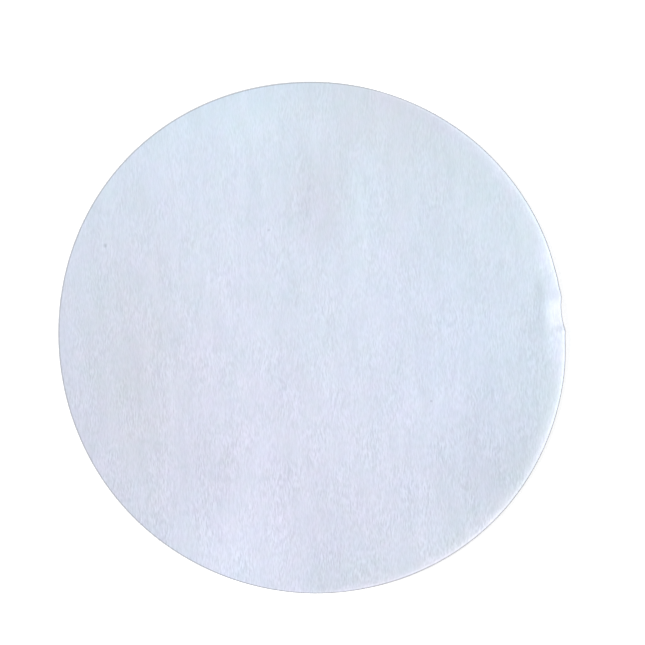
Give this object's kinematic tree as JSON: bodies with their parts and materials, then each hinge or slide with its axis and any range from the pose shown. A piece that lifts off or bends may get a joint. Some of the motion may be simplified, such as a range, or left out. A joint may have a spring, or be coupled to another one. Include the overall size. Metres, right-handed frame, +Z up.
{
  "type": "filter paper disc",
  "caption": "Round of die-cut filter paper lying flat, its margin lifted in low waves and its rim turned up on one side into a narrow lip with a crimp.",
  "frame": {"origin": "centre of the disc on the underside of its flat middle, where it rests", "axes": "+Z up out of the sheet; +X towards the side of the rim that has the crimp; +Y a quarter turn counter-clockwise from +X, seen from above"},
  "size_m": [0.1238, 0.1241, 0.0022],
  "materials": {
    "filter_paper": "matte"
  },
  "bodies": {
    "root": {"filter_disc": "filter_paper"}
  },
  "joints": []
}
